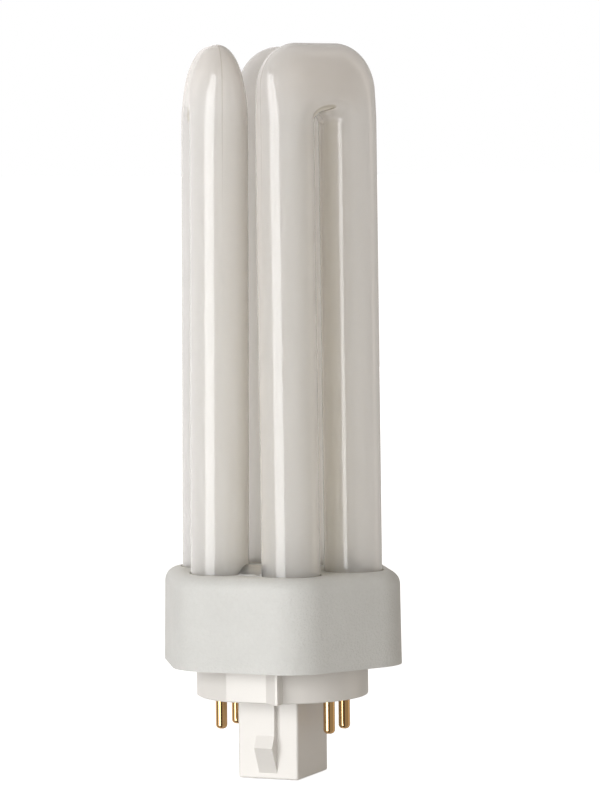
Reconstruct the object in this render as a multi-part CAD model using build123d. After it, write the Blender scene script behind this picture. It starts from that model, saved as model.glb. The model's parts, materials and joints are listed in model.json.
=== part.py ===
from build123d import *
import math
import os

# A plug-in compact fluorescent lamp: three glass U's joined into one sealed tube, a hexagonal collar
# that holds their feet, and a cap with four pins and a latching post.
# Millimetres. +Z runs from the cap to the tube tops. The origin is on the lamp's axis, at the
# underside of the cap's plate, which seats on the lamp holder. -Y faces one of the two catches.

# Glass tube
TUBE_DIAMETER = 11.4
LEG_GAP = 4.0  # between the two legs of one U
U_GAP = 3.6  # between two legs that a bridge joins, at the collar's top
U_LEAN = 0.45  # degrees that each U leans inwards
TUBE_TOP_Z = 128.0
BEND_HEIGHT = 13.7  # from the crotch of a U to its top
BEND_SQUEEZE = 0.2  # how much the mould takes from each side of the tube at the bend's middle
BEND_CORNER_RADIUS = 8.6  # outer corners of a U, seen from its flat side
BEND_CROTCH_DEPTH = 2.7  # how far the bend's round inner side reaches up to its widest line
BRIDGE_DIAMETER = 5.6
BRIDGE_Z = 24.0
BEND_STEPS = 12  # sections of the bend's loft, from leg to leg
BEND_LEAD = 2.0  # straight glass carried by the loft, so that it runs smoothly into the legs
FOOT_ROUND = 4.6  # under the feet that hold no electrode
SEAL_WIDTH = 9.0  # pinched seal under an electrode
SEAL_THICKNESS = 2.8
SEAL_EDGE_ROUND = 1.26
SEAL_TOP_Z = 16.4
SEAL_PINCH_Z = 13.6
SEAL_BOTTOM_Z = 11.6
TIP_DIAMETER = 3.0  # sealed-off pumping tip
TIP_LENGTH = 2.2
TIP_ROUND = 1.35

# Collar
COLLAR_BOTTOM_Z = 6.6
COLLAR_TOP_Z = 25.0
COLLAR_REACH = 3.75  # from the glass to the collar's outside, at the collar's bottom
COLLAR_DRAFT = 0.9  # degrees
COLLAR_WALL = 1.6
COLLAR_TOP_WALL = 2.0
COLLAR_EDGE_ROUND = 2.8
LEG_CLEARANCE = 0.35  # between the glass and its opening in the collar's top
SOCKET_BOTTOM_Z = 16.8
SOCKET_WALL = 1.0
CEMENT_WALL = 1.5
CEMENT_GAP = 0.05  # between cement and glass, and cement and socket

# Cap: plate, keys, flange and snap hooks
PLATE_MARGIN = 4.8  # from the circle through the pins to the plate's rim
PLATE_FLOOR = 2.0
CAP_WALL = 1.6
KEY_FLAT_DEPTH = 0.8  # cut from the round plate by the flat beside the key fin
KEY_FLAT_END = 3.25  # where the flat turns out towards the fin
KEY_FIN_X = 6.55
KEY_FIN_HEIGHT = 1.4  # how far the fin stands out from the round plate
KEY_FIN_LAND = 0.5
PLATE_EDGE_ROUND = 0.3
FLANGE_THICKNESS = 1.6
FLANGE_INSET = 0.3  # the flange's underside lies this far inside the collar's mouth
FLANGE_CLEARANCE = 0.15
HOOK_WIDTH = 8.0
HOOK_THICKNESS = 1.3
HOOK_CATCH = 0.75
HOOK_HEAD_HEIGHT = 1.9
LEDGE_DEPTH = 1.0
LEDGE_HEIGHT = 1.4
LEDGE_Z = 10.0
SNAP_CLEARANCE = 0.2
OVERCUT = 1.0  # how far a cut runs past the wall that it opens

# Cap: post, ribs and catches
POST_WIDTH = 12.7
POST_DEPTH = 15.5
POST_LENGTH = 16.0
POST_WALL = 1.5
POST_EDGE_ROUND = 0.4
RIB_WIDTH = 3.8
RIB_DEPTH = 1.25
CATCH_DEPTH = 2.55
CATCH_TOP = 7.3
CATCH_RIDGE = 9.6
CATCH_TOE = 14.8

# Pins and their wires
PIN_SPACING_X = 23.0
PIN_SPACING_Y = 8.0
PIN_DIAMETER = 2.3
PIN_LENGTH = 7.0
PIN_TIP_ROUND = 0.85
PIN_SHOULDER_DIAMETER = 2.7  # of the stem inside the cap, from the plate's underside to the head
PIN_BORE = 1.1
PIN_BORE_DEPTH = 5.0  # from the head down, for the end of the lead
PIN_HEAD_DIAMETER = 3.4
PIN_HEAD_THICKNESS = 0.8
PIN_BOSS_DIAMETER = 5.0
PIN_BOSS_TOP_Z = 6.2
PIN_CLEARANCE = 0.03
WIRE_DIAMETER = 0.6
WIRE_SPACING = 4.0  # between the two wires that leave one seal
WIRE_END_GAP = 0.3
WIRE_BEND = 1.3
WIRE_RUN_Z = 9.6  # height of the level run between pin and seal
SLEEVE_DIAMETER = 1.5
SLEEVE_BORE = 0.8
SLEEVE_END_GAP = 0.3  # from a sleeve's end to the bend of its wire

TUBE_R = TUBE_DIAMETER / 2
LEG_PITCH = TUBE_DIAMETER + LEG_GAP
BRIDGED_PITCH = TUBE_DIAMETER + U_GAP
# From the lamp's axis to the middle plane of a U, at the collar's top
U_OFFSET = (BRIDGED_PITCH / 2 + LEG_PITCH / 4) / math.sin(math.radians(60))
LEG_RING_R = math.hypot(LEG_PITCH / 2, U_OFFSET)
LEG_HALF_ANGLE = math.degrees(math.atan2(LEG_PITCH / 2, U_OFFSET))
CROTCH_RADIUS = LEG_GAP / 2
BEND_HALF_WIDTH = TUBE_R - BEND_SQUEEZE
PIVOT_Z = TUBE_TOP_Z - BEND_HEIGHT - CROTCH_RADIUS
CLOSED_FOOT_Z = SOCKET_BOTTOM_Z - FOOT_ROUND
CEMENT_TOP_Z = BRIDGE_Z - BRIDGE_DIAMETER / 2 - LEG_CLEARANCE
CEMENT_R = TUBE_R + CEMENT_GAP + CEMENT_WALL
COLLAR_MARGIN = TUBE_R + COLLAR_REACH
PLATE_RADIUS = math.hypot(PIN_SPACING_X / 2, PIN_SPACING_Y / 2) + PLATE_MARGIN
KEY_FLAT_Y = PLATE_RADIUS - KEY_FLAT_DEPTH
KEY_FIN_Y = PLATE_RADIUS + KEY_FIN_HEIGHT
FLANGE_Z = COLLAR_BOTTOM_Z + FLANGE_INSET
FLANGE_TOP_Z = FLANGE_Z + FLANGE_THICKNESS
PIN_HEAD_Z = PIN_BOSS_TOP_Z + PIN_HEAD_THICKNESS
PIN_BORE_Z = PIN_HEAD_Z - PIN_BORE_DEPTH

# The three U's face back, left and right. A leg is named by its U and its side of that U's middle,
# +1 being anticlockwise seen from above. The discharge runs from one electrode through all six legs.
U_ANGLES = (90, 210, 330)
ALL_LEGS = [(u, side) for u in range(3) for side in (-1, 1)]
FIRST_LEG, LAST_LEG = ALL_LEGS[2], ALL_LEGS[1]
ELECTRODE_LEGS = [FIRST_LEG, LAST_LEG]
BRIDGED_LEGS = [(ALL_LEGS[3], ALL_LEGS[4]), (ALL_LEGS[5], ALL_LEGS[0])]
PUMPED_LEG = ALL_LEGS[5]
HOOK_ANGLES = [angle + 60 for angle in U_ANGLES]

# Each pin with the electrode leg that feeds it and the side of the seal that its wire leaves from.
PINS = [
    ((-1, -1), FIRST_LEG, -1),
    ((-1, 1), FIRST_LEG, 1),
    ((1, 1), LAST_LEG, 1),
    ((1, -1), LAST_LEG, -1),
]
LONG_LEADS = [pin for pin in PINS if LAST_LEG in pin]  # they cross the lamp, so they wear sleeves


def standing(radius, bottom, top):
    """An upright round bar between two heights."""
    return Pos(0, 0, (bottom + top) / 2) * Cylinder(radius, top - bottom)


def leg_centre(leg, z=0):
    u, side = leg
    angle = math.radians(U_ANGLES[u] + side * LEG_HALF_ANGLE)
    return Vector(LEG_RING_R * math.cos(angle), LEG_RING_R * math.sin(angle), z)


def u_place(u):
    """From a U's own frame, standing in its plane, to its leaning place round the lamp's axis."""
    lean = Pos(0, U_OFFSET, COLLAR_TOP_Z) * Rot(X=U_LEAN) * Pos(0, 0, -COLLAR_TOP_Z)
    return Rot(Z=U_ANGLES[u] - 90) * lean


def leg_place(leg):
    """From the lamp's axis to the axis of one leg."""
    u, side = leg
    return u_place(u) * Pos(-side * LEG_PITCH / 2, 0, 0)


def collar_outline(margin, z):
    """The outline round the six legs, a fixed distance outside their axes."""
    hexagon = Polygon(*[(leg_centre(leg).X, leg_centre(leg).Y) for leg in ALL_LEGS], align=None)
    return Pos(0, 0, z) * offset(hexagon, amount=margin, kind=Kind.ARC)


def wall_inside(z):
    """Distance from the axis to the inside of the collar's wall, on a side between two U's."""
    side = LEG_RING_R * math.cos(math.radians(60 - LEG_HALF_ANGLE))
    draft = (z - COLLAR_BOTTOM_Z) * math.tan(math.radians(COLLAR_DRAFT))
    return side + COLLAR_MARGIN - COLLAR_WALL - draft


def bend_outer(angle):
    """Distance from the bend's pivot to its outside: a rectangle with rounded corners, in polar form."""
    c, s = math.cos(math.radians(angle)), math.sin(math.radians(angle))
    half_width = LEG_PITCH / 2 + TUBE_R
    height = CROTCH_RADIUS + BEND_HEIGHT
    corner_x = half_width - BEND_CORNER_RADIUS
    corner_z = height - BEND_CORNER_RADIUS
    if s * half_width <= c * corner_z:
        return half_width / c
    if c * height <= s * corner_x:
        return height / s
    along = corner_x * c + corner_z * s
    return along + math.sqrt(along**2 - corner_x**2 - corner_z**2 + BEND_CORNER_RADIUS**2)


def bend_section(angle):
    """Section of the bend at an angle round its pivot: a short half ellipse inside, a long one outside."""
    turn = math.radians(angle)
    squeeze = math.sin(turn) ** 2
    half_width = TUBE_R + (BEND_HALF_WIDTH - TUBE_R) * squeeze
    inner = TUBE_R + (BEND_CROTCH_DEPTH - TUBE_R) * squeeze
    mirrored = min(angle, 180 - angle)
    outer = bend_outer(mirrored) - CROTCH_RADIUS - inner
    plane = Plane(
        origin=(0, 0, PIVOT_Z),
        x_dir=(math.cos(turn), 0, math.sin(turn)),
        z_dir=(-math.sin(turn), 0, math.cos(turn)),
    )
    return plane * Pos(CROTCH_RADIUS + inner, 0) * two_half_ellipses(inner, outer, half_width)


def two_half_ellipses(inner, outer, half_width):
    """A closed oval: half an ellipse towards -X and half another towards +X, of one width."""
    near = EllipticalCenterArc((0, 0), inner, half_width, start_angle=90, arc_size=180)
    far = EllipticalCenterArc((0, 0), outer, half_width, start_angle=-90, arc_size=180)
    return make_face([near, far])


def leg_section(side, below):
    """Round section of a leg, a little below the bend, split like the bend's sections."""
    plane = Plane(
        origin=(side * LEG_PITCH / 2, 0, PIVOT_Z - below), x_dir=(side, 0, 0), z_dir=(0, 0, side)
    )
    return plane * two_half_ellipses(TUBE_R, TUBE_R, TUBE_R)


def bend():
    """The moulded bend of a U, lofted round the crotch from one leg to the other."""
    angles = [180 * step / BEND_STEPS for step in range(BEND_STEPS + 1)]
    sections = [leg_section(1, BEND_LEAD)]
    sections += [bend_section(angle) for angle in angles]
    sections += [leg_section(-1, BEND_LEAD)]
    return loft(sections)


def closed_leg():
    """Straight leg that ends in a round glass bottom."""
    leg = standing(TUBE_R, CLOSED_FOOT_Z, PIVOT_Z - BEND_LEAD)
    return fillet(leg.edges().filter_by(GeomType.CIRCLE).sort_by(Axis.Z)[0], FOOT_ROUND)


def electrode_leg():
    """Straight leg pinched flat round the two wires of its electrode."""
    flat = RectangleRounded(SEAL_WIDTH, SEAL_THICKNESS, SEAL_EDGE_ROUND)
    neck = loft([Pos(0, 0, SEAL_PINCH_Z) * flat, Pos(0, 0, SEAL_TOP_Z) * Circle(TUBE_R)])
    pinch = extrude(Pos(0, 0, SEAL_BOTTOM_Z) * flat, SEAL_PINCH_Z - SEAL_BOTTOM_Z)
    return standing(TUBE_R, SEAL_TOP_Z, PIVOT_Z - BEND_LEAD) + neck + pinch


def pumping_tip():
    """The narrow glass tube that the lamp was pumped through, melted shut."""
    tip = standing(TIP_DIAMETER / 2, CLOSED_FOOT_Z - TIP_LENGTH, SOCKET_BOTTOM_Z)
    return fillet(tip.edges().filter_by(GeomType.CIRCLE).sort_by(Axis.Z)[0], TIP_ROUND)


def bridge_bar(legs, radius):
    """A level round bar from the axis of one leg to the axis of the next."""
    start, end = [leg_centre(leg, BRIDGE_Z) for leg in legs]
    middle = Plane(origin=(start + end) / 2, z_dir=end - start)
    return middle * Cylinder(radius, (end - start).length)


def discharge_tube():
    """The sealed glass: three U's, two bridges and the pumping tip, in one piece."""
    glass = Part()
    for u in range(3):
        glass += u_place(u) * bend()
    for leg in ALL_LEGS:
        glass += leg_place(leg) * (electrode_leg() if leg in ELECTRODE_LEGS else closed_leg())
    for legs in BRIDGED_LEGS:
        glass += bridge_bar(legs, BRIDGE_DIAMETER / 2)
    return glass + leg_place(PUMPED_LEG) * pumping_tip()


def collar_shell():
    """The drafted cup, upside down, with its rounded top edge."""
    height = COLLAR_TOP_Z - COLLAR_BOTTOM_Z
    outside = extrude(collar_outline(COLLAR_MARGIN, COLLAR_BOTTOM_Z), height, taper=COLLAR_DRAFT)
    outside = fillet(outside.faces().sort_by(Axis.Z)[-1].edges(), COLLAR_EDGE_ROUND)
    inside = collar_outline(COLLAR_MARGIN - COLLAR_WALL, COLLAR_BOTTOM_Z)
    return outside - extrude(inside, height - COLLAR_TOP_WALL, taper=COLLAR_DRAFT)


def bridge_slot(legs):
    """Room for a glass bridge, open at the collar's top."""
    radius = BRIDGE_DIAMETER / 2 + LEG_CLEARANCE
    start, end = [leg_centre(leg, BRIDGE_Z) for leg in legs]
    over = Plane(origin=(start + end) / 2, x_dir=end - start, z_dir=(0, 0, 1))
    height = COLLAR_TOP_Z - BRIDGE_Z + OVERCUT
    box = over * Pos(0, 0, height / 2) * Box((end - start).length, 2 * radius, height)
    return bridge_bar(legs, radius) + box


def collar():
    """Collar with a socket for each leg, slots for the bridges and ledges for the cap's hooks."""
    body = collar_shell()
    for leg in ALL_LEGS:
        socket_r = CEMENT_R + CEMENT_GAP + SOCKET_WALL
        socket = standing(socket_r, SOCKET_BOTTOM_Z, COLLAR_TOP_Z - COLLAR_TOP_WALL / 2)
        body += leg_place(leg) * socket
    for leg in ALL_LEGS:
        bottom = SOCKET_BOTTOM_Z - OVERCUT
        opening = standing(TUBE_R + LEG_CLEARANCE, bottom, COLLAR_TOP_Z + OVERCUT)
        cement_room = standing(CEMENT_R + CEMENT_GAP, bottom, CEMENT_TOP_Z)
        body -= leg_place(leg) * (opening + cement_room)
    for legs in BRIDGED_LEGS:
        body -= bridge_slot(legs)
    ledge_outside = wall_inside(LEDGE_Z) + COLLAR_WALL / 2
    ledge_inside = wall_inside(LEDGE_Z) - LEDGE_DEPTH
    for angle in HOOK_ANGLES:
        middle = Pos((ledge_inside + ledge_outside) / 2, 0, LEDGE_Z + LEDGE_HEIGHT / 2)
        ledge = Box(ledge_outside - ledge_inside, HOOK_WIDTH, LEDGE_HEIGHT)
        body += Rot(Z=angle) * middle * ledge
    return body


def plate_outline():
    """Round plate with two flats, each turning out into a key fin, the same after half a turn."""
    fin_start = (KEY_FLAT_END, -KEY_FLAT_Y)
    fin_corner = (KEY_FIN_X - KEY_FIN_LAND, -KEY_FIN_Y)
    outside = KEY_FIN_Y + OVERCUT
    beyond = Polygon(
        (-PLATE_RADIUS, -KEY_FLAT_Y),
        fin_start,
        fin_corner,
        (KEY_FIN_X, -outside),
        (-PLATE_RADIUS, -outside),
        align=None,
    )
    fin = Polygon(fin_start, fin_corner, (KEY_FIN_X, -KEY_FIN_Y), (KEY_FIN_X, 0), (0, 0), align=None)
    outline = Circle(PLATE_RADIUS)
    for turn in (0, 180):
        outline = outline - Rot(Z=turn) * beyond
    for turn in (0, 180):
        outline = outline + Rot(Z=turn) * fin
    return outline


def plate_room():
    """The hollow inside the plate, which leaves an even wall behind its flats."""
    across = 2 * (PLATE_RADIUS - CAP_WALL)
    room = Circle(across / 2) & Rectangle(across, 2 * (KEY_FLAT_Y - CAP_WALL))
    return extrude(Pos(0, 0, PLATE_FLOOR) * room, FLANGE_TOP_Z - PLATE_FLOOR)


def post():
    """Square post below the plate, closed at its end."""
    height = POST_LENGTH + PLATE_FLOOR
    box = Pos(0, 0, PLATE_FLOOR - height / 2) * Box(POST_WIDTH, POST_DEPTH, height)
    edges = box.edges().filter_by(Axis.Z) + box.faces().sort_by(Axis.Z)[0].edges()
    return fillet(edges, POST_EDGE_ROUND)


def post_room():
    height = POST_LENGTH + PLATE_FLOOR - POST_WALL
    wide, deep = POST_WIDTH - 2 * POST_WALL, POST_DEPTH - 2 * POST_WALL
    return Pos(0, 0, PLATE_FLOOR - height / 2) * Box(wide, deep, height)


def rib_and_catch():
    """Rib down the post's front that swells into a wedge catch, drawn in its side profile."""
    face = -POST_DEPTH / 2
    profile = Polygon(
        (-face - POST_WALL / 2, PLATE_FLOOR / 2),
        (-face + RIB_DEPTH, PLATE_FLOOR / 2),
        (-face + RIB_DEPTH, -CATCH_TOP),
        (-face + CATCH_DEPTH, -CATCH_RIDGE),
        (-face, -CATCH_TOE),
        (-face - POST_WALL / 2, -CATCH_TOE),
        align=None,
    )
    side = Plane(origin=(0, 0, 0), x_dir=(0, -1, 0), z_dir=(-1, 0, 0))
    return extrude(side * profile, RIB_WIDTH / 2, both=True)


def snap_hook():
    """Springy tongue on the flange whose head snaps over the collar's ledge."""
    front = wall_inside(LEDGE_Z) - LEDGE_DEPTH - SNAP_CLEARANCE
    back = front - HOOK_THICKNESS
    head_z = LEDGE_Z + LEDGE_HEIGHT + SNAP_CLEARANCE
    top_z = head_z + HOOK_HEAD_HEIGHT
    profile = Polygon(
        (back, FLANGE_Z),
        (front, FLANGE_Z),
        (front, head_z),
        (front + HOOK_CATCH, head_z),
        (front, top_z),
        (back, top_z),
        align=None,
    )
    side = Plane(origin=(0, 0, 0), x_dir=(1, 0, 0), z_dir=(0, -1, 0))
    return extrude(side * profile, HOOK_WIDTH / 2, both=True)


def pin_place(pin):
    (side_x, side_y), _, _ = pin
    return Pos(side_x * PIN_SPACING_X / 2, side_y * PIN_SPACING_Y / 2, 0)


def cap():
    """Cap moulding: plate, keys, flange, hooks, pin bosses, hollow post and its two catches."""
    plate = extrude(plate_outline(), FLANGE_TOP_Z)
    plate = fillet(plate.faces().sort_by(Axis.Z)[0].edges(), PLATE_EDGE_ROUND)
    flange = extrude(
        collar_outline(COLLAR_MARGIN - COLLAR_WALL - FLANGE_CLEARANCE, FLANGE_Z), FLANGE_THICKNESS
    )
    body = plate + flange - plate_room() + post()
    for turn in (0, 180):
        body += Rot(Z=turn) * rib_and_catch()
    body -= post_room()
    for pin in PINS:
        body += pin_place(pin) * standing(PIN_BOSS_DIAMETER / 2, PLATE_FLOOR / 2, PIN_BOSS_TOP_Z)
    for pin in PINS:
        hole_r = PIN_SHOULDER_DIAMETER / 2 + PIN_CLEARANCE
        hole = standing(hole_r, -OVERCUT, PIN_BOSS_TOP_Z + OVERCUT)
        body -= pin_place(pin) * hole
    for angle in HOOK_ANGLES:
        body += Rot(Z=angle) * snap_hook()
    return body


def contact_pin(pin):
    """Pin with a rounded tip, held by the head on its inner end, which is bored for the lead."""
    shank = standing(PIN_DIAMETER / 2, -PIN_LENGTH, 0)
    shank = fillet(shank.edges().filter_by(GeomType.CIRCLE).sort_by(Axis.Z)[0], PIN_TIP_ROUND)
    stem = standing(PIN_SHOULDER_DIAMETER / 2, 0, PIN_BOSS_TOP_Z)
    head = standing(PIN_HEAD_DIAMETER / 2, PIN_BOSS_TOP_Z, PIN_HEAD_Z)
    bore = standing(PIN_BORE / 2, PIN_BORE_Z, PIN_HEAD_Z)
    return pin_place(pin) * (shank + stem + head - bore)


def wire_line(pin, bottom, top):
    """Middle line of a lead: up out of its pin, level to the seal, and up to the glass."""
    foot = pin_place(pin).position
    _, leg, side = pin
    exit_point = (leg_place(leg) * Pos(side * WIRE_SPACING / 2, 0, top)).position
    points = [
        (foot.X, foot.Y, bottom),
        (foot.X, foot.Y, WIRE_RUN_Z),
        (exit_point.X, exit_point.Y, WIRE_RUN_Z),
        (exit_point.X, exit_point.Y, top),
    ]
    return FilletPolyline(*points, radius=WIRE_BEND)


def lead_wire(pin):
    line = wire_line(pin, PIN_BORE_Z + WIRE_END_GAP, SEAL_BOTTOM_Z - CEMENT_GAP)
    return sweep(Plane(origin=line @ 0, z_dir=line % 0) * Circle(WIRE_DIAMETER / 2), path=line)


def sleeve(pin):
    """Insulating tube over the level run of a long lead."""
    run = wire_line(pin, PIN_HEAD_Z, SEAL_BOTTOM_Z).edges().sort_by(SortBy.LENGTH)[-1]
    length = run.length - 2 * SLEEVE_END_GAP
    tube = Cylinder(SLEEVE_DIAMETER / 2, length) - Cylinder(SLEEVE_BORE / 2, length)
    return Plane(origin=run @ 0.5, z_dir=run % 0.5) * tube


def cement_bed(leg):
    """Ring of cement that fixes one leg in its socket."""
    outer = standing(CEMENT_R, SOCKET_BOTTOM_Z, CEMENT_TOP_Z - CEMENT_GAP)
    return leg_place(leg) * (outer - standing(TUBE_R + CEMENT_GAP, SOCKET_BOTTOM_Z, CEMENT_TOP_Z))


def all_parts():
    parts = {"discharge_tube": discharge_tube(), "collar": collar(), "cap": cap()}
    for number, pin in enumerate(PINS, start=1):
        parts[f"pin_{number}"] = contact_pin(pin)
        parts[f"lead_wire_{number}"] = lead_wire(pin)
        if pin in LONG_LEADS:
            parts[f"sleeve_{number}"] = sleeve(pin)
    for number, leg in enumerate(ALL_LEGS, start=1):
        parts[f"cement_bed_{number}"] = cement_bed(leg)
    return parts


os.makedirs("parts", exist_ok=True)
for name, shape in all_parts().items():
    export_step(shape, f"parts/{name}.step")
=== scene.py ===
"""A plug-in compact fluorescent lamp: coated glass U's, a plastic collar and a cap with brass pins."""

import json
import math

import bpy
import numpy as np
from mathutils import Matrix, Vector


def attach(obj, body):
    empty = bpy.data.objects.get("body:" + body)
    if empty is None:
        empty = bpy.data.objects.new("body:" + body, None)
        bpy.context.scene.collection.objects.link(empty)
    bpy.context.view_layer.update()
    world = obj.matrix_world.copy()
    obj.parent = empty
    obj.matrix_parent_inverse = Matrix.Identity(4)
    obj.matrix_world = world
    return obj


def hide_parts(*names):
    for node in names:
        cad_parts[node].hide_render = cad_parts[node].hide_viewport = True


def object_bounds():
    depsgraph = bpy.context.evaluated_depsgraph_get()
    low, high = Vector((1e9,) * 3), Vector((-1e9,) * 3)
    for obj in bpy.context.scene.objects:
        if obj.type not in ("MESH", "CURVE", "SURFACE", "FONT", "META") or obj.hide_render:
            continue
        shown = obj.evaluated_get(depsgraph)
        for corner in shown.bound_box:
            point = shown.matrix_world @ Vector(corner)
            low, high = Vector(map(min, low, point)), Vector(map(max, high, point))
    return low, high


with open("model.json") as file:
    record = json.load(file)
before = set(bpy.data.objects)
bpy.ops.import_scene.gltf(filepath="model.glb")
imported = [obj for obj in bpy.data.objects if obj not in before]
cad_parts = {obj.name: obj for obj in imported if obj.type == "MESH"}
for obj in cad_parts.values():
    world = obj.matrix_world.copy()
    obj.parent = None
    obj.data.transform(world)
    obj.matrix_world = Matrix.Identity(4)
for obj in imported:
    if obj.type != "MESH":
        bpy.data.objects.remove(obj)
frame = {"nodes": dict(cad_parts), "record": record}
cad_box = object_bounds()

MM = 0.001
# Keeps a division away from nought
TINY = 1e-6

# The glass, in millimetres, as the source of the solids has it
TUBE_R = 5.7
LEG_GAP = 4.0
U_GAP = 3.6
U_LEAN = 0.45
TUBE_TOP_Z = 128.0
BEND_HEIGHT = 13.7
BEND_SQUEEZE = 0.2
BEND_CORNER_RADIUS = 8.6
BEND_CROTCH_DEPTH = 2.7
BRIDGE_R = 2.8
BRIDGE_Z = 24.0
FOOT_ROUND = 4.6
SEAL_WIDTH = 9.0
SEAL_THICKNESS = 2.8
SEAL_TOP_Z = 16.4
SEAL_PINCH_Z = 13.6
SEAL_BOTTOM_Z = 11.6
CLOSED_FOOT_Z = 12.2
COLLAR_TOP_Z = 25.0
U_ANGLES = (90, 210, 330)
# The feet of each U that hold an electrode: by the U's own side, +1 being anticlockwise
ELECTRODE_FEET = {0: (1,), 1: (-1,), 2: ()}
# The U's that a bridge joins: from the first one's +1 side to the second one's -1 side
BRIDGED_US = ((1, 2), (2, 0))

LEG_PITCH = 2 * TUBE_R + LEG_GAP
CROTCH_RADIUS = LEG_GAP / 2
U_OFFSET = (TUBE_R + U_GAP / 2 + LEG_PITCH / 4) / math.sin(math.radians(60))
PIVOT_Z = TUBE_TOP_Z - BEND_HEIGHT - CROTCH_RADIUS

# The mould's seam, which runs out down the legs, and the widening of the bridges at their ends
SEAM_HEIGHT = 0.05
SEAM_WIDTH = 0.16
LEG_SEAM_SHARE = 0.8
LEG_SEAM_LENGTH = 55.0
BRIDGE_FLARE = 0.08

# The fold pinched beside the crotch, measured from the bend's pivot: a groove along an ellipse, and a
# straight lip. Each pair says where a part of it starts to show and where it shows in full.
# The fold's masks also paint shade into the body colour: dark in its groove and along its lip, olive inside
# it
FOLD_HALF_WIDTH = 4.8
FOLD_HEIGHT = 3.1
FOLD_RISE = 0.3
FOLD_DEPTH = 0.08
FOLD_LEFT = (-1.7, -0.7)
FOLD_RIGHT = (4.9, 4.2)
GROOVE_BREADTH = (0.3, 0.0)
GROOVE_UP = (-0.5, 1.5)
LIP_RISE = 2.6
LIP_SLOPE = 0.4
LIP_BREADTH = (0.3, 0.05)
LIP_RIGHT = (4.4, 2.5)
INSIDE_GROOVE = (1.1, 0.8)
OVER_LIP = (-0.2, 0.2)

# Where painted shade and painted light sit in the glass's body colour, measured and paired in the same way
PAINTED_WEB_SHADE_ASIDE = (15.0, 4.0)
PAINTED_WEB_SHADE_UP = (0.0, 7.0)
PAINTED_SLIT_SHADE_ASIDE = (3.8, 2.4)
PAINTED_SLIT_SHADE_UP = (1.5, 0.0)
PAINTED_SEAM_SHADE_THROUGH = (SEAM_WIDTH, SEAM_WIDTH / 4)
PAINTED_SEAM_SHADE_UP = (-20.0, 12.0)
PAINTED_CROWN_SHADE_UP = (2.0, 15.0)
PAINTED_FOOT_LIGHT_TOP_Z = 115.0

# How many points and rings the meshes have, and how far the points crowd at the seam
AROUND = 176
SEAM_CROWDING = 0.42
LEG_ROWS = 60
BEND_ROWS = 120
FOOT_ROWS = 24
BRIDGE_AROUND = 64
BRIDGE_ROWS = 40

# The camera, from the photograph's perspective
VIEW_BEARING = 22.65
VIEW_TURN = math.radians(VIEW_BEARING)
VIEW_PITCH = math.radians(-3.33)
VIEW_ROLL = math.radians(-0.544)
VIEW_DISTANCE = 0.80945
VIEW_HEIGHT = 0.10528
FRAME_HEIGHT_PX = 800
FOCAL_PX = 4111.85
AXIS_SHIFT_PX = 20.15
SENSOR_WIDTH = 36.0
VIEW_OUT = Vector((math.sin(VIEW_TURN), -math.cos(VIEW_TURN), 0.0))
VIEW_RIGHT = Vector((math.cos(VIEW_TURN), math.sin(VIEW_TURN), 0.0))

# The floor, in metres
FLOOR_DROP = 0.0002
FLOOR_REACH = 30.0

# The studio's soft light: its level, and how much of it goes overhead and on the right
STUDIO_LEVEL = 0.96
LESS_OVERHEAD = 0.8
LESS_ON_RIGHT = 0.2
STUDIO_TINT = (1.0, 0.955, 0.92, 1.0)
RIGHT_TINT = (1.0, 0.9, 0.78, 1.0)

# What the gloss mirrors: bearings in degrees from the camera, to the right of it above nought, and shades
BACKDROP_ON_LEFT = ((-180, 1.0), (-112, 1.0), (-96, 0.4))
DARK_FRONT = ((-60, 0.3), (-20, 0.12), (8, 0.12), (20, 0.45))
CARD_ON_RIGHT = ((94, 0.42), (104, 1.3), (110, 1.3), (122, 0.42), (148, 0.4), (174, 0.45), (180, 0.7))


def grey(shade):
    return (shade, shade, shade, 1.0)


def linear(red, green, blue):
    """A colour given by its 0 to 255 screen values, as the shader wants it."""
    return (*[((part / 255 + 0.055) / 1.055) ** 2.4 for part in (red, green, blue)], 1.0)


class Wire:
    """A shader socket that takes arithmetic: each operator adds its Math node."""

    def __init__(self, graph, socket):
        self.graph = graph
        self.socket = socket

    def __add__(self, other):
        return self.graph.math("ADD", self, other)

    def __radd__(self, other):
        return self.graph.math("ADD", other, self)

    def __sub__(self, other):
        return self.graph.math("SUBTRACT", self, other)

    def __rsub__(self, other):
        return self.graph.math("SUBTRACT", other, self)

    def __mul__(self, other):
        return self.graph.math("MULTIPLY", self, other)

    def __rmul__(self, other):
        return self.graph.math("MULTIPLY", other, self)

    def __truediv__(self, other):
        return self.graph.math("DIVIDE", self, other)

    def __abs__(self):
        return self.graph.math("ABSOLUTE", self)

    def clamped(self):
        return self.graph.node("ShaderNodeClamp", {}, {"Value": self})


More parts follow.
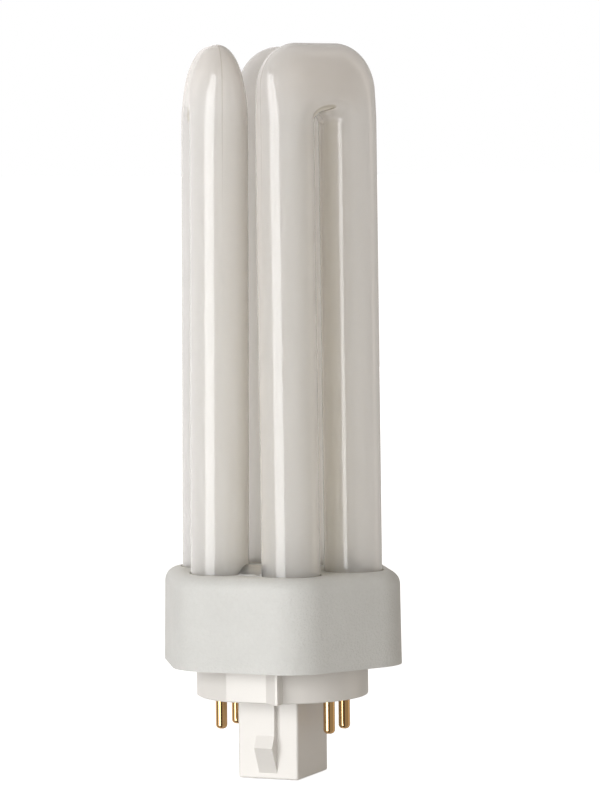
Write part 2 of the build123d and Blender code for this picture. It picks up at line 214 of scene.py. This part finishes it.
class Graph:
    """The nodes of one material or of the world."""

    def __init__(self, tree):
        self.tree = tree
        tree.nodes.clear()

    def node(self, kind, settings=None, sockets=None, output=0):
        """Adds a node: its settings first, then the values or wires of its sockets."""
        made = self.tree.nodes.new(kind)
        for name, value in (settings or {}).items():
            setattr(made, name, value)
        for name, value in (sockets or {}).items():
            if isinstance(value, Wire):
                self.tree.links.new(value.socket, made.inputs[name])
            else:
                made.inputs[name].default_value = value
        return Wire(self, made.outputs[output])

    def math(self, operation, *terms):
        return self.node("ShaderNodeMath", {"operation": operation}, dict(enumerate(terms)))

    def dot(self, first, second):
        """How far one direction goes along another."""
        settings = {"operation": "DOT_PRODUCT"}
        return self.node("ShaderNodeVectorMath", settings, {0: first, 1: second}, output="Value")

    def parts(self, vector):
        """The x, y and z of a vector."""
        split = self.node("ShaderNodeSeparateXYZ", {}, {"Vector": vector})
        return [Wire(self, output) for output in split.socket.node.outputs]

    def place(self):
        """The point's place on the lamp, in metres."""
        return self.node("ShaderNodeTexCoord", output="Object")

    def is_ray(self, kind):
        """1 for a ray of that kind and 0 for any other."""
        return self.node("ShaderNodeLightPath", output=f"Is {kind} Ray")

    def noise(self, place, scale, detail, roughness=0.5):
        """Noise from 0 to 1 whose grain is a scale to the metre."""
        sockets = {"Vector": place, "Scale": scale, "Detail": detail, "Roughness": roughness}
        return self.node("ShaderNodeTexNoise", {}, sockets)

    def share(self, value, start, end):
        """How far a value is on its way from a start to an end, from 0 to 1, with soft ends."""
        sockets = {"Value": value, "From Min": start, "From Max": end}
        return self.node("ShaderNodeMapRange", {"interpolation_type": "SMOOTHSTEP"}, sockets)

    def blend(self, factor, first, second):
        """Mixes two colours."""
        sockets = {0: factor, 6: first, 7: second}
        return self.node("ShaderNodeMix", {"data_type": "RGBA"}, sockets, output=2)

    def ramp(self, factor, stops):
        """A shade of grey by the factor, through stops that are each a place from 0 to 1 and a shade."""
        made = self.node("ShaderNodeValToRGB", {}, {"Fac": factor})
        elements = made.socket.node.color_ramp.elements
        elements.remove(elements[1])
        elements[0].position = stops[0][0]
        elements[0].color = grey(stops[0][1])
        for place, shade in stops[1:]:
            elements.new(place).color = grey(shade)
        return made

    def bump(self, height, distance):
        return self.node("ShaderNodeBump", {}, {"Height": height, "Distance": distance})

    def principled(self, sockets):
        return self.node("ShaderNodeBsdfPrincipled", {}, sockets)

    def end(self, surface, kind="ShaderNodeOutputMaterial"):
        """Gives the tree its output node."""
        output = self.tree.nodes.new(kind)
        self.tree.links.new(surface.socket, output.inputs["Surface"])


def smooth_share(value, start, end):
    """How far an array is on its way from a start to an end: 3t^2 - 2t^3, from 0 to 1."""
    t = np.clip((value - start) / (end - start), 0, 1)
    return t * t * (3 - 2 * t)


def fold_masks(aside, up, share):
    """How much of the fold's groove, lip and inside is at a place, from 0 to 1, for arrays and wires alike.

    The groove follows the ellipse (x / half width)^2 + (z / height)^2 = 1, and the lip a sloping line."""
    across = aside / FOLD_HALF_WIDTH
    rise = (up - FOLD_RISE) / FOLD_HEIGHT
    ellipse = across * across + rise * rise
    over_lip = up + LIP_SLOPE * aside - LIP_RISE
    within = share(aside, *FOLD_LEFT) * share(aside, *FOLD_RIGHT)
    groove = share(abs(ellipse - 1.0), *GROOVE_BREADTH) * within * share(up, *GROOVE_UP)
    lip = share(abs(over_lip), *LIP_BREADTH) * within * share(aside, *LIP_RIGHT)
    inside = share(ellipse, *INSIDE_GROOVE) * within * share(over_lip, *OVER_LIP)
    return groove, lip, inside


def coated_glass(g):
    """Clear glass over a matt white coating: a soft body colour under a sharp clear gloss."""
    place = g.place()
    body = g.blend(g.noise(place, 90, 4), linear(247, 240, 231), linear(251, 245, 236))
    # Painted light: the body colour grows paler downwards, to the top of the collar
    low = g.share(g.parts(place)[2], PAINTED_FOOT_LIGHT_TOP_Z * MM, COLLAR_TOP_Z * MM)
    colour = g.blend(low, body, linear(255, 249, 237))
    in_plane = g.node("ShaderNodeAttribute", {"attribute_name": "in_plane"}, output="Vector")
    aside, through, height = g.parts(in_plane)
    up = height - PIVOT_Z
    # Painted shade in the fold: dark in the groove and along the lip, olive inside
    groove, lip, inside = fold_masks(aside, up, g.share)
    # Painted shade: darker across the web of each U's top, and darker still over its crown
    painted_web_shade = g.share(abs(aside), *PAINTED_WEB_SHADE_ASIDE) * g.share(up, *PAINTED_WEB_SHADE_UP)
    painted_crown_shade = g.share(up, *PAINTED_CROWN_SHADE_UP)
    # Painted olive shade in the slit between a U's legs
    painted_slit_shade = g.share(abs(aside), *PAINTED_SLIT_SHADE_ASIDE) * g.share(up, *PAINTED_SLIT_SHADE_UP)
    # The seam ridge is built into the mesh, and its dark line along each U is painted shade, kept out of
    # the slit
    painted_seam_shade = g.share(abs(through), *PAINTED_SEAM_SHADE_THROUGH) * g.share(up, *PAINTED_SEAM_SHADE_UP) * (1.0 - painted_slit_shade)
    # Each painted shade goes into the body colour by its own amount
    painted_shades = (
        (0.35 * painted_web_shade, (198, 188, 179)),
        (0.6 * painted_crown_shade, (180, 171, 162)),
        (0.5 * painted_slit_shade, (218, 212, 190)),
        (0.5 * inside, (214, 208, 182)),
        (0.6 * groove, (140, 130, 104)),
        (0.8 * lip, (90, 84, 62)),
        (0.45 * painted_seam_shade, (160, 148, 128)),
    )
    for amount, tint in painted_shades:
        colour = g.blend(amount, colour, linear(*tint))
    return {
        "Base Color": colour,
        "Roughness": 0.6,
        "Specular IOR Level": 0.0,
        "Coat Weight": 1.0,
        "Coat Roughness": 0.03,
        "Coat IOR": 1.52,
        "Subsurface Weight": 1.0,
        "Subsurface Radius": (1.0, 1.0, 1.0),
        "Subsurface Scale": 0.065,
    }


def collar_plastic(g):
    """Pale matt plastic with a fine grain."""
    place = g.place()
    grain = g.noise(place, 1800, 4, 0.7)
    mottle = 0.5 * g.noise(place, 120, 3) + 0.5 * grain
    return {
        "Base Color": g.blend(mottle, linear(209, 210, 207), linear(229, 230, 227)),
        "Roughness": 0.42 + 0.1 * grain,
        "Normal": g.bump(grain, 0.0002),
        "Specular IOR Level": 0.35,
    }


def cap_plastic(g):
    """Smooth, nearly white plastic."""
    place = g.place()
    cloud = g.noise(place, 140, 3)
    return {
        "Base Color": g.blend(cloud, linear(228, 226, 222), linear(234, 232, 228)),
        "Roughness": 0.28 + 0.08 * cloud,
        "Normal": g.bump(g.noise(place, 900, 2), 0.00001),
    }


def pin_brass(g):
    """Bright drawn brass, with faint lines along the pin."""
    drawn = g.node("ShaderNodeMapping", {}, {"Vector": g.place(), "Scale": (1.0, 1.0, 0.06)})
    lines = g.noise(drawn, 4000, 3)
    return {
        "Base Color": g.blend(lines, linear(204, 166, 116), linear(216, 180, 130)),
        "Metallic": 1.0,
        "Roughness": 0.05 + 0.06 * lines,
    }


def wire_metal(g):
    """Grey lead wire."""
    cloud = g.noise(g.place(), 5000, 2)
    return {
        "Base Color": g.blend(cloud, linear(190, 188, 184), linear(206, 204, 200)),
        "Metallic": 1.0,
        "Roughness": 0.25 + 0.15 * cloud,
    }


def sleeve_rubber(g):
    """Off-white silicone rubber."""
    grain = g.noise(g.place(), 3000, 3)
    return {
        "Base Color": g.blend(grain, linear(234, 232, 226), linear(240, 238, 232)),
        "Roughness": 0.5 + 0.15 * grain,
        "Normal": g.bump(grain, 0.00003),
    }


def cement(g):
    """Chalky basing cement."""
    grain = g.noise(g.place(), 4000, 5, 0.7)
    return {
        "Base Color": g.blend(grain, linear(206, 202, 192), linear(228, 225, 216)),
        "Roughness": 0.85,
        "Normal": g.bump(grain, 0.0002),
        "Specular IOR Level": 0.2,
    }


def new_material(name):
    material = bpy.data.materials.new(name)
    material.use_nodes = True
    return material, Graph(material.node_tree)


def made_material(finish):
    """A material from the function that gives its shader's sockets."""
    material, g = new_material(finish.__name__)
    g.end(g.principled(finish(g)))
    return material


FINISHES = (coated_glass, collar_plastic, cap_plastic, pin_brass, wire_metal, sleeve_rubber, cement)
MATERIALS = {finish.__name__: made_material(finish) for finish in FINISHES}


def dress(piece, slot):
    piece.data.materials.clear()
    piece.data.materials.append(MATERIALS[slot])


def add_glass(name, points, faces, in_plane):
    """A smooth mesh of glass from points in millimetres, which rides on the lamp.

    For the shader it keeps the place of each point in its U's own plane."""
    mesh = bpy.data.meshes.new(name)
    mesh.from_pydata(points * MM, [], faces)
    mesh.shade_smooth()
    mesh.attributes.new("in_plane", "FLOAT_VECTOR", "POINT").data.foreach_set("vector", in_plane.ravel())
    piece = bpy.data.objects.new(name, mesh)
    bpy.context.scene.collection.objects.link(piece)
    dress(piece, "coated_glass")
    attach(piece, "root")
    return piece


def closed_tube(grid):
    """Points and faces of a tube from rings of points; its first and last ring each close in a pole."""
    rings, count = grid.shape[:2]
    body = grid.reshape(-1, 3)
    poles = np.array([grid[0].mean(axis=0), grid[-1].mean(axis=0)])
    ring = np.arange(count)
    after = (ring + 1) % count
    faces = []
    for k in range(rings - 1):
        low, high = k * count, (k + 1) * count
        faces += np.stack([low + ring, low + after, high + after, high + ring], axis=1).tolist()
    start, end = rings * count, rings * count + 1
    last = (rings - 1) * count
    faces += np.stack([np.full(count, start), after, ring], axis=1).tolist()
    faces += np.stack([np.full(count, end), last + ring, last + after], axis=1).tolist()
    return np.vstack([body, poles]), faces


def u_place(u, points):
    """From a U's own frame, standing in its plane, to its leaning place round the lamp's axis."""
    lean = math.radians(U_LEAN)
    turn = math.radians(U_ANGLES[u] - 90)
    x, y, z = points[..., 0], points[..., 1], points[..., 2] - COLLAR_TOP_Z
    y, z = y * math.cos(lean) - z * math.sin(lean) + U_OFFSET, y * math.sin(lean) + z * math.cos(lean)
    turned = (x * math.cos(turn) - y * math.sin(turn), x * math.sin(turn) + y * math.cos(turn))
    return np.stack([*turned, z + COLLAR_TOP_Z], axis=-1)


def bend_outer(angle):
    """Distance from the bend's pivot to its outside: a rectangle with rounded corners, in polar form."""
    c, s = np.abs(np.cos(angle)), np.sin(angle)
    half_width = LEG_PITCH / 2 + TUBE_R
    height = CROTCH_RADIUS + BEND_HEIGHT
    corner_x, corner_z = half_width - BEND_CORNER_RADIUS, height - BEND_CORNER_RADIUS
    along = corner_x * c + corner_z * s
    arc = along + np.sqrt(np.maximum(along**2 - corner_x**2 - corner_z**2 + BEND_CORNER_RADIUS**2, 0))
    side = half_width / np.maximum(c, TINY)
    top = height / np.maximum(s, TINY)
    return np.where(s * half_width <= c * corner_z, side, np.where(c * height <= s * corner_x, top, arc))


def around_angles():
    """Angles round a section, crowded where the mould's seam runs, on its inner and outer side."""
    even = np.linspace(0, 2 * math.pi, AROUND, endpoint=False)
    return even - SEAM_CROWDING * np.sin(2 * even)


def egg_ring(angles, inner, outer, half_width):
    """A closed oval round its widest line: half an ellipse inwards (-x), half another outwards (+x)."""
    reach = np.where(np.cos(angles) < 0, inner, outer)
    return reach * np.cos(angles), half_width * np.sin(angles)


def seam(angles, half_width, strength=1.0):
    """Height of the mould's seam: a bell, exp(-(distance / width)^2), across the section's middle plane."""
    across = half_width * np.sin(angles)
    return strength * SEAM_HEIGHT * np.exp(-((across / SEAM_WIDTH) ** 2))


def sunk_fold(grid):
    """Sinks the fold into rings of points: each point moves against its normal by the depth there."""
    groove, lip, _ = fold_masks(grid[..., 0], grid[..., 2] - PIVOT_Z, smooth_share)
    depth = FOLD_DEPTH * (groove + lip)
    along = np.gradient(grid, axis=0)
    around = np.roll(grid, -1, axis=1) - np.roll(grid, 1, axis=1)
    normal = np.cross(around, along)
    outward = np.sum(normal * (grid - grid.mean(axis=1, keepdims=True)), axis=-1, keepdims=True)
    normal *= np.sign(outward) / np.maximum(np.linalg.norm(normal, axis=-1, keepdims=True), TINY)
    return grid - depth[..., None] * normal


def bend_rings(angles):
    """Rings of the bend, each in a plane through its pivot, from the +x leg over to the -x leg.

    The tube is squeezed by sin^2 of the way round, so that it is tightest at the top. It lies lower there
    by the seam's height, which keeps the seam inside the solid's height."""
    turn = np.linspace(0, math.pi, BEND_ROWS)[:, None]
    squeeze = np.sin(turn) ** 2
    half_width = TUBE_R - BEND_SQUEEZE * squeeze
    inner = TUBE_R + (BEND_CROTCH_DEPTH - TUBE_R) * squeeze
    outer = bend_outer(turn) - CROTCH_RADIUS - inner - SEAM_HEIGHT * squeeze
    reach, across = egg_ring(angles[None, :], inner, outer, half_width)
    lift = seam(angles[None, :], half_width) * np.sign(np.cos(angles))[None, :]
    radius = CROTCH_RADIUS + inner + reach + lift
    return np.stack([radius * np.cos(turn), across, PIVOT_Z + radius * np.sin(turn)], axis=-1)


def foot_shape(z, holds_electrode):
    """Half width and half thickness of a leg near its foot, by height.

    A foot with an electrode narrows to its flat seal along 3t^2 - 2t^3. The others round off as a quarter
    of a circle."""
    if holds_electrode:
        share = smooth_share(z, SEAL_PINCH_Z, SEAL_TOP_Z)
        width = SEAL_WIDTH / 2 + (TUBE_R - SEAL_WIDTH / 2) * share
        return width, SEAL_THICKNESS / 2 + (TUBE_R - SEAL_THICKNESS / 2) * share
    rise = np.clip((CLOSED_FOOT_Z + FOOT_ROUND - z) / FOOT_ROUND, 0, 1)
    radius = TUBE_R - FOOT_ROUND * (1 - np.sqrt(np.maximum(1 - rise**2, 0)))
    return radius, radius


def leg_rings(angles, holds_electrode):
    """Rings of the straight +x leg from its foot up to the bend. Its seam fades out downwards, squared."""
    bottom = SEAL_BOTTOM_Z if holds_electrode else CLOSED_FOOT_Z
    foot_top = CLOSED_FOOT_Z + FOOT_ROUND
    low = np.linspace(bottom, foot_top, FOOT_ROWS)
    high = np.linspace(foot_top, PIVOT_Z, LEG_ROWS)[1:-1]
    z = np.concatenate([low, high])[:, None]
    width, thickness = foot_shape(z, holds_electrode)
    fade = np.clip((z - PIVOT_Z + LEG_SEAM_LENGTH) / LEG_SEAM_LENGTH, 0, 1) ** 2
    lift = seam(angles[None, :], thickness, LEG_SEAM_SHARE * fade)
    x = LEG_PITCH / 2 + (width + lift) * np.cos(angles)
    y = thickness * np.sin(angles)
    return np.stack([x, y, np.broadcast_to(z, x.shape)], axis=-1)


def glass_u(u):
    """One U of glass: up a leg, over the bend and down the other leg, as one closed skin."""
    angles = around_angles()
    mirror = np.array([-1.0, 1.0, 1.0])
    rising = leg_rings(angles, -1 in ELECTRODE_FEET[u])
    falling = leg_rings(angles, 1 in ELECTRODE_FEET[u])[::-1] * mirror
    points, faces = closed_tube(sunk_fold(np.concatenate([rising, bend_rings(angles), falling])))
    return add_glass(f"glass_u_{u + 1}", u_place(u, points), faces, points)


def leg_axis(u, side):
    """The point on a leg's axis at the height of the bridges."""
    return u_place(u, np.array([-side * LEG_PITCH / 2, 0.0, BRIDGE_Z]))


def glass_bridge(name, start, end):
    """A level glass tube between two legs, wider at its ends by the fourth power of the way out."""
    length = np.linalg.norm(end - start)
    along = (end - start) / length
    side = np.array([-along[1], along[0], 0.0])
    share = np.linspace(0, 1, BRIDGE_ROWS)[:, None]
    way_out = np.abs(share - 0.5) * length / (length / 2 - TUBE_R)
    radius = BRIDGE_R + BRIDGE_FLARE * np.clip(way_out, 0, 1) ** 4
    turn = np.linspace(0, 2 * math.pi, BRIDGE_AROUND, endpoint=False)[None, :]
    grid = (
        start
        + (share * length)[..., None] * along
        + (radius * np.cos(turn))[..., None] * side
        + (radius * np.sin(turn))[..., None] * np.array([0.0, 0.0, 1.0])
    )
    points, faces = closed_tube(grid)
    return add_glass(name, points, faces, np.zeros_like(points))


def dress_nodes():
    """Gives each solid that stays its finish."""
    for row in frame["record"]["subparts"]:
        dress(frame["nodes"][row["node"]], row["material_slot"])


def glass():
    """The three U's and the two bridges, in place of the solid tube."""
    pieces = [glass_u(u) for u in range(len(U_ANGLES))]
    for number, (first, second) in enumerate(BRIDGED_US, 1):
        pieces.append(glass_bridge(f"glass_bridge_{number}", leg_axis(first, 1), leg_axis(second, -1)))
    for piece in pieces:
        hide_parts("discharge_tube")


def add_camera():
    """The photograph's own viewpoint, with its small turn about the line of sight."""
    ahead = -VIEW_OUT * math.cos(VIEW_PITCH) + Vector((0.0, 0.0, math.sin(VIEW_PITCH)))
    above = VIEW_RIGHT.cross(ahead)
    c, s = math.cos(VIEW_ROLL), math.sin(VIEW_ROLL)
    x_axis = VIEW_RIGHT * c + above * s
    y_axis = above * c - VIEW_RIGHT * s
    turned = Matrix((x_axis, y_axis, -ahead)).transposed().to_4x4()
    data = bpy.data.cameras.new("camera")
    data.sensor_width = SENSOR_WIDTH
    data.lens = FOCAL_PX * SENSOR_WIDTH / FRAME_HEIGHT_PX
    data.shift_x = AXIS_SHIFT_PX / FRAME_HEIGHT_PX
    camera = bpy.data.objects.new("camera", data)
    stand = VIEW_OUT * VIEW_DISTANCE + Vector((0.0, 0.0, VIEW_HEIGHT))
    camera.matrix_world = Matrix.Translation(stand) @ turned
    bpy.context.scene.collection.objects.link(camera)
    bpy.context.scene.camera = camera


def add_area(name, turn, rise, distance, size, power, aim_z=0.06):
    """A rectangular soft light that faces the lamp from a bearing and a height angle, in degrees."""
    turn, rise = math.radians(turn), math.radians(rise)
    away = Vector((math.sin(turn) * math.cos(rise), -math.cos(turn) * math.cos(rise), math.sin(rise)))
    data = bpy.data.lights.new(name, "AREA")
    data.shape = "RECTANGLE"
    data.size, data.size_y = size
    data.energy = power
    light = bpy.data.objects.new(name, data)
    light.location = Vector((0.0, 0.0, aim_z)) + away * distance
    light.rotation_euler = away.to_track_quat("Z", "Y").to_euler()
    bpy.context.scene.collection.objects.link(light)
    return light


def add_lights():
    """A broad key for the body colours, a near strip that shows in the gloss alone, and a light behind."""
    key = add_area("soft_key", turn=-12, rise=4, distance=1.6, size=(1.2, 1.2), power=21.3)
    key.visible_glossy = False
    strip = add_area("strip", turn=-17, rise=0, distance=0.4, size=(0.27, 0.64), power=2.8, aim_z=0.07)
    strip.visible_diffuse = False
    back = add_area("back_light", turn=VIEW_BEARING + 180, rise=2, distance=1.6, size=(1.8, 1.8), power=10)
    back.visible_glossy = False


def add_floor():
    """A pale floor under the post. The camera sees it white, apart from the lamp's soft shadow."""
    mesh = bpy.data.meshes.new("floor")
    low = cad_box[0].z - FLOOR_DROP
    signs = ((-1, -1), (1, -1), (1, 1), (-1, 1))
    mesh.from_pydata([(x * FLOOR_REACH, y * FLOOR_REACH, low) for x, y in signs], [], [(0, 1, 2, 3)])
    floor = bpy.data.objects.new("floor", mesh)
    bpy.context.scene.collection.objects.link(floor)
    material, g = new_material("floor")
    sockets = {
        "Base Color": grey(0.8),
        "Roughness": 0.9,
        "Specular IOR Level": 0.0,
        "Emission Color": g.blend(g.is_ray("Camera"), grey(0.0), grey(1.0)),
        "Emission Strength": 0.8,
    }
    clear = g.node("ShaderNodeBsdfTransparent")
    g.end(g.node("ShaderNodeMixShader", {}, {0: g.is_ray("Glossy"), 1: g.principled(sockets), 2: clear}))
    mesh.materials.append(material)


def add_world():
    """An even pale studio, with dark and bright sides in the gloss. The camera sees plain white."""
    world = bpy.data.worlds.new("studio")
    bpy.context.scene.world = world
    world.use_nodes = True
    g = Graph(world.node_tree)
    direction = g.node("ShaderNodeTexCoord", output="Generated")
    aslant = g.dot(direction, VIEW_RIGHT)
    turn = g.math("ARCTAN2", aslant, g.dot(direction, VIEW_OUT))
    sides = BACKDROP_ON_LEFT + DARK_FRONT + CARD_ON_RIGHT
    stops = [(0.5 + bearing / 360, shade) for bearing, shade in sides]
    mirrored = g.ramp(0.5 + turn / (2 * math.pi), stops)
    overhead, on_right = g.parts(direction)[2].clamped(), aslant.clamped()
    plain = STUDIO_LEVEL - LESS_OVERHEAD * overhead - LESS_ON_RIGHT * on_right
    lit = plain + g.is_ray("Glossy") * (mirrored - plain)
    seen = (g.is_ray("Camera") + g.is_ray("Transmission")).clamped()
    sockets = {
        "Color": g.blend(seen, g.blend(on_right, STUDIO_TINT, RIGHT_TINT), grey(1.0)),
        "Strength": lit + seen * (1.0 - lit),
    }
    g.end(g.node("ShaderNodeBackground", {}, sockets), "ShaderNodeOutputWorld")


add_camera()
add_world()
add_lights()
add_floor()
dress_nodes()
glass()
bpy.context.scene.view_settings.view_transform = "Standard"
